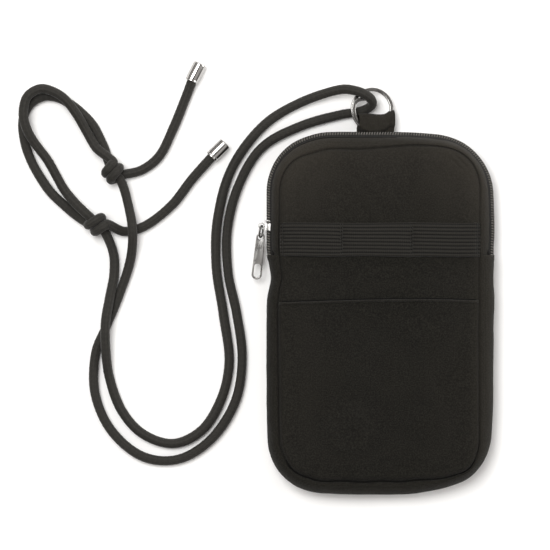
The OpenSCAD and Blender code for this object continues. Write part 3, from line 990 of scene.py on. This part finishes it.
def ribbed(name, dark, pale, pitch):
    """Knitted webbing: fine columns across it, with painted shade that darkens it down between the ribs.
    """
    m = Shader(name)
    knit = m.times(m.wave(m.axis(0), pitch), 0.5)
    fleck = m.noise(0.0007, 3.0)
    rib = m.node("Attribute", "Fac", attribute_name="rib")
    mixed = m.add(m.span(knit, -1, 1, 0, 0.3), m.span(fleck, 0.4, 0.7, 0, 0.3))
    # painted shade: darker down in the grooves between the ribs, read from the rib height
    mixed = m.times(m.add(mixed, 0.35), m.span(rib, 0.35, 0.95))
    m.finish(m.between(mixed, dark, pale), m.span(fleck, 0.3, 0.7, 0.78, 0.95),
             Sheen_Weight=0.12, Sheen_Roughness=0.4, Specular_IOR_Level=0.2)
    m.bump(m.add(knit, fleck), 0.5, 0.00016)
    return m.mat


def braid(name, dark, pale):
    """Braided cord: yarns in two hands along and round it, from the mesh's own attributes."""
    m = Shader(name)
    turns = m.times(m.node("Attribute", "Fac", attribute_name="along"), BRAID_TURN)
    around = m.node("Attribute", "Fac", attribute_name="around")
    left = m.math("MULTIPLY_ADD", around, BRAID_LOBES, turns)
    right = m.math("SUBTRACT", m.times(around, BRAID_LOBES), turns)
    check = m.times(m.math("COSINE", left), m.math("COSINE", right))
    threads = m.math("SINE", m.times(left, 3.0))
    yarns = m.math("COSINE", m.times(around, 9.0))
    fleck = m.noise(0.0009, 3.0, 0.6)
    mixed = m.add(m.span(check, -1, 1, 0.0, 0.24), m.span(fleck, 0.4, 0.7, 0, 0.45))
    mixed = m.add(mixed, m.span(yarns, -1, 1, 0.0, 0.26))
    m.finish(m.between(mixed, dark, pale), m.span(fleck, 0.3, 0.7, 0.66, 0.85),
             Sheen_Weight=0.12, Sheen_Roughness=0.4, Specular_IOR_Level=0.25)
    height = m.add(m.add(m.times(check, 0.45), m.times(threads, 0.25)), m.times(yarns, 0.3))
    m.bump(m.add(height, m.times(fleck, 0.6)), 0.6, 0.00025)
    return m.mat


def metal(name, colour, rough, boost=0.12):
    """Plated metal: soft scratches, and smudges that darken it and change its gloss."""
    m = Shader(name)
    smudge = m.noise(0.004, 3.0)
    stretched = m.node("Mapping", 0, {"Vector": m.place, "Scale": (1.0, 0.12, 1.0)})
    scratch = m.noise(0.0003, 2.0, place=stretched)
    darker = tuple(c * 0.72 for c in colour)
    m.finish(m.between(m.span(smudge, 0.35, 0.7, 0.0, 0.35), colour, darker),
             m.add(m.span(smudge, 0.3, 0.7, rough, rough + boost), m.span(scratch, 0.5, 0.8, 0.0, 0.08)),
             Metallic=1.0)
    m.bump(scratch, 0.12, 0.00002)
    return m.mat


def nylon(name, dark, pale):
    """Nylon wire with a slight gloss, and a painted highlight that makes the tops lying highest pale,
    unevenly.
    """
    m = Shader(name)
    fleck = m.noise(0.0006, 2.0)
    # painted highlight: the wire is made pale only where it lies highest, with uneven strength
    tops = m.span(m.axis(2), 0.0112, 0.0120)
    boost = m.times(tops, m.span(m.noise(0.006, 3.0), 0.3, 0.6, 0.7, 1.0))
    m.finish(m.between(boost, dark, pale), m.span(fleck, 0.3, 0.7, 0.3, 0.45))
    m.bump(fleck, 0.15, 0.00004)
    return m.mat


def foam_cells(name, colour):
    """Open-cell foam: small pores and a warm grey body."""
    m = Shader(name)
    cells = m.node("TexVoronoi", 0, {"Vector": m.place, "Scale": 1400.0})
    darker = tuple(c * 0.5 for c in colour)
    m.finish(m.between(m.span(cells, 0.0, 0.6), darker, colour), m.span(cells, 0, 1, 0.85, 1.0))
    m.bump(cells, 0.5, 0.0002)
    return m.mat


# Each look is a material and the record's finish that it shows.
FABRIC = (fabric("pouch_fabric", (0.0015, 0.0013, 0.0008), (0.0155, 0.0146, 0.0113), 0.00062,
                 sheen=0.04, melange=1.0, checks=0.45, paints_highlights=True), "pouch_fabric")
# painted highlight: a paler copy of the pouch fabric for the pocket hem, standing for the light its fold
# catches
FOLD_PAINTED_HIGHLIGHT = (fabric("pouch_fabric_fold_painted_highlight", (0.0070, 0.0065, 0.0052), (0.025, 0.0235, 0.019), 0.00062,
               sheen=0.08, melange=0.7, paints_highlights=True), "pouch_fabric")
# painted shadow: a near-black cloth for the strips that stand for the shade in the pocket's mouth and in
# the bottom seam's groove
PAINTED_SHADOW_CLOTH = (fabric("painted_shadow_cloth", (0.0015, 0.0014, 0.0011), (0.006, 0.0056, 0.0047), 0.0005, 0.02),
          "zip_tape")
LINING = (fabric("lining_taffeta", (0.020, 0.020, 0.021), (0.055, 0.055, 0.057), 0.00045, 0.2, 0.6,
                 0.3, 0.25), "lining_fabric")
TAPE = (fabric("zip_tape_weave", (0.006, 0.0056, 0.0050), (0.016, 0.0150, 0.0135), 0.0008, 0.04),
        "zip_tape")
ELASTIC = ribbed("elastic_ribbed", (0.0028, 0.0025, 0.0020), (0.0265, 0.0242, 0.0200),
                 0.0011), "elastic"
BRAID = braid("cord_braid", (0.0095, 0.0088, 0.0073), (0.034, 0.0315, 0.0265)), "cord"
THREAD = (fabric("sewing_thread", (0.010, 0.0093, 0.008), (0.026, 0.0245, 0.021), 0.0003, 0.1, 0.6),
          "zip_tape")
# the pale colour is only the painted highlight on the highest tops of the front row
COIL = nylon("nylon_coil", (0.007, 0.0065, 0.0056), (0.15, 0.139, 0.122)), "zip_coil"
NICKEL = metal("satin_nickel", (0.40, 0.392, 0.378), 0.22), "nickel"
RING_WIRE = metal("split_ring_wire", (0.27, 0.264, 0.255), 0.12), "nickel"
STEEL = metal("dark_steel_wire", (0.17, 0.166, 0.16), 0.2), "nickel"
CHROME = metal("bright_chrome", (0.50, 0.49, 0.475), 0.07, 0.06), "chrome"
FOAM = foam_cells("foam", (0.10, 0.098, 0.092)), "foam"


def finish(obj, look):
    """Gives a piece its material."""
    material, slot = look
    obj.data.materials.clear()
    obj.data.materials.append(material)


# ---------------- the picture: floor, light, camera
VIEW_MIDDLE = (-55.1, 19.8)
VIEW_W = 287.9
CAMERA_AWAY = 2200
PAPER_HALF = 3000
LAMPS_AIM = (-55, 20, 0)


def make_stage():
    """A sheet of white paper, a soft studio round it and three large lamps."""
    corners = [(PAPER_HALF * x, PAPER_HALF * y, 0) for x, y in ((-1, -1), (1, -1), (1, 1), (-1, 1))]
    floor = make_object("floor", corners, [(0, 1, 2, 3)])
    m = Shader("paper_white")
    m.finish(rgb(0.93, 0.925, 0.915), 0.9, Specular_IOR_Level=0.1)
    floor.data.materials.append(m.mat)
    world = bpy.data.worlds.new("studio")
    bpy.context.scene.world = world
    world.use_nodes = True
    w = Nodes(world.node_tree)
    up = w.node("SeparateXYZ", 2, {0: w.node("TexCoord", "Generated")})
    sky = w.span(up, 0.15, 0.75, 0.26, 0.66)  # a bright ceiling over darker walls
    overhead = w.span(up, 0.88, 0.95, 1.0, 0.12)  # the dark camera stand, seen in the metal
    glow = w.tree.nodes["Background"].inputs
    w.put(glow["Strength"], w.times(sky, overhead))
    w.put(glow["Color"], rgb(1, 0.962, 0.935))
    for name, at, size, power in (("key", (-440, 400, 1500), 840, 22),
                                  ("side", (1500, 100, 500), 700, 12),
                                  ("top", (-100, 1600, 500), 700, 8)):
        light = bpy.data.lights.new(name, "AREA")
        light.size = size * MM
        light.energy = power
        lamp = placed(name, light)
        lamp.location = Vector(at) * MM
        aim = Vector(LAMPS_AIM) * MM - lamp.location
        lamp.rotation_euler = aim.to_track_quat("-Z", "Y").to_euler()
    bpy.context.scene.view_settings.view_transform = "Standard"


def make_camera():
    """Straight down over the laid-out pouch and cord, as far off as the picture's flat look needs."""
    data = bpy.data.cameras.new("camera")
    data.sensor_width = 36
    data.lens = data.sensor_width * CAMERA_AWAY / VIEW_W
    data.clip_end = 20
    cam = placed("camera", data)
    cam.location = Vector((*VIEW_MIDDLE, CAMERA_AWAY)) * MM
    bpy.context.scene.camera = cam


# ---------------- building it
def show(obj, look, body, *nodes):
    """Finishes a piece, sets it riding on its body and hides the CAD nodes it stands for."""
    finish(obj, look)
    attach(obj, body)
    if nodes:
        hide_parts(*nodes)


def show_folding(obj, look, *nodes):
    """A face layer from the pouch to the flap: given its material, baked in place, its CAD nodes hidden.
    """
    finish(obj, look)
    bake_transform(obj)
    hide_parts(*nodes)


def build_cord():
    cord, line = make_cord()
    finish(cord, BRAID)
    tips = [make_tip("tip_1", (-98.9, 121.0, 3.55), 63), make_tip("tip_2", (-88.4, 81.4, 3.55), 45)]
    for k, tip in enumerate(tips, 1):
        show(tip, CHROME, "pouch", f"cord_tip_{k}")
    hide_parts("cord_tail_1", "knot_1", "cord_upper_a", "cord_upper_b", "knot_2",
                "cord_tail_2", "cord_strand_1", "cord_strand_2", "cord_bight")
    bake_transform(cord)


def build_faces():
    """The front and back: cloth, foam and lining, each layer behind the last."""
    front = panel("front_face", whole_path(), front_seam_inset, 70, face_height, CLOTH)
    show_folding(front, FABRIC, "front_panel_lower", "front_panel_flap")
    for name, look, node, depth, thick, extra in (
            ("front_padding", FOAM, "front_foam", 0.8, FOAM_T, 1.6),
            ("front_inside", LINING, "front_lining", 2.4, LINING_T, 0.6)):
        layer = panel(name, whole_path(2.4), front_seam_inset, 24,
                      lambda x, y, d: face_height(x, y, d) - depth, thick, extra=extra)
        show_folding(layer, look, node + "_lower", node + "_flap")
    back = panel("back_face", whole_path(1.6), back_seam_inset, 50, back_height, 0.6, flip=True)
    show(back, FABRIC, "pouch", "back_panel")
    for name, look, node, depth, thick, extra in (
            ("back_padding", FOAM, "back_foam", 0.7, FOAM_T, 1.6),
            ("back_inside", LINING, "back_lining", 2.4, LINING_T, 0.6)):
        layer = panel(name, whole_path(2.4), back_seam_inset, 24,
                      lambda x, y, d: back_height(x, y, d) + depth, thick, flip=True, extra=extra)
        show(layer, look, "pouch", node)


def build_sides():
    """The side wall: gusset, zip strips, tapes, coil rows and the bindings of the seams inside."""
    show(side_wall("gusset", low_path(30.2), -1, 1, 0.5, 41, 0.8, 0.14, 11, hem=0.35),
         FABRIC, "pouch", "lower_gusset")
    show(side_wall("gusset_inside", low_path(28, 1.8), -0.85, 0.85, 0.5, 15, 0.35, 0.1, 13,
                   inside=1.6), LINING, "pouch", "gusset_lining")
    strip, zipped = top_path(29.2), top_path(30.0)
    show(side_wall("back_strip", strip, -1, -0.30, 0.2, 21, 0.8, 0.06, 17, hem=-0.9),
         FABRIC, "pouch", "zip_strip_back")
    show(side_wall("front_strip", strip, 0.28, 1, 2.7, 21, 0.8, 0.10, 19, hem=-0.8),
         FABRIC, "front_flap", "zip_strip_front")
    show(make_tape("tape_back", zipped, 0.9, 0.5, 4.6, 8.6), TAPE, "pouch", "zip_tape_back")
    show(make_tape("tape_front", zipped, 1.9, 3.6, 11.0, 15.0), TAPE, "front_flap",
         "zip_tape_front")
    show(make_coil("coil_back", zipped, 2.3, 9.1, 0.0, 1), COIL, "pouch", "zip_teeth_back")
    show(make_coil("coil_front", zipped, 1.7, 10.9, math.pi, -1), COIL, "front_flap",
         "zip_teeth_front")
    show(binding("back_piping", whole_path(2.0), 8.2, 4.2), TAPE, "pouch", "back_binding")
    show(binding("front_piping_low", low_path(28, 2.0), 8.9, 15.8, False), TAPE, "pouch",
         "front_binding_lower")
    show(binding("front_piping_flap", top_path(31.5, 2.0), 9.1, 15.8, False), TAPE, "front_flap",
         "front_binding_flap")
    # painted shadow: the dark strip in the bottom seam's groove
    show(make_seam_painted_shadow(), PAINTED_SHADOW_CLOTH, "pouch")


def build_front():
    band, thread = make_band()
    show(band, ELASTIC, "front_flap", "elastic_band")
    show(thread, THREAD, "front_flap")
    pocket, hem, mouth_shadow = make_pocket()
    show(pocket, FABRIC, "pouch", "front_pocket")
    show(hem, FOLD_PAINTED_HIGHLIGHT, "pouch")
    show(mouth_shadow, PAINTED_SHADOW_CLOTH, "pouch")


def build_fittings():
    show(make_ring(), RING_WIRE, "ring", "split_ring")
    show(make_tab(), FABRIC, "ring_loop", "ring_tab")
    plate_piece, marks = make_pull()
    show(plate_piece, NICKEL, "pull", "pull_tab")
    show(marks, NICKEL, "pull")
    show(make_slider(), NICKEL, "slider", "zip_slider")
    finish(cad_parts["pull_link"], STEEL)


make_stage()
make_camera()
build_cord()
build_faces()
build_sides()
build_front()
build_fittings()
